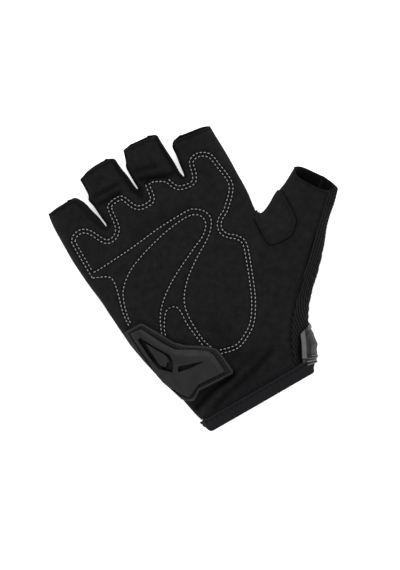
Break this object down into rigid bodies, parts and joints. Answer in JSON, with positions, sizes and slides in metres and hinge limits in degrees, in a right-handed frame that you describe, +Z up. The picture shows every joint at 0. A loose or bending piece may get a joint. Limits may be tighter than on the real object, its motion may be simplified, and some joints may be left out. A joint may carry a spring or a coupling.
{
  "type": "fingerless motorcycle glove",
  "caption": "Right-hand fingerless riding glove with a quilted palm, open finger ends, ribbed side panel and moulded wrist strap tab, lying palm up.",
  "frame": {"origin": "centre of the glove's box, on the surface that its back rests on", "axes": "+Y towards the fingertips, +X towards the thumb, +Z up out of the palm"},
  "size_m": [0.1544, 0.1678, 0.027],
  "materials": {
    "palm_suede": "brushed synthetic suede, matt, quilted with pale stitching",
    "back_knit": "plain stretch knit, matt",
    "strip_knit": "fine stretch knit, matt",
    "side_mesh": "ribbed stretch mesh, matt",
    "patch_suede": "brushed synthetic suede, matt",
    "hem_binding": "folded binding, slight sheen",
    "strap_webbing": "flat woven tape, matt",
    "tab_rubber": "moulded rubber, satin",
    "root_rubber": "moulded rubber, satin, lighter raised strip"
  },
  "bodies": {
    "root": {"palm_panel": "palm_suede", "back_panel": "back_knit", "fourchette_pinky_ring": "strip_knit", "fourchette_ring_middle": "strip_knit", "fourchette_middle_index": "strip_knit", "side_mesh_panel": "side_mesh", "thumb_patch": "patch_suede", "cuff_hem": "hem_binding", "wrist_strap": "strap_webbing", "strap_tab": "tab_rubber", "strap_root": "root_rubber"}
  },
  "joints": []
}
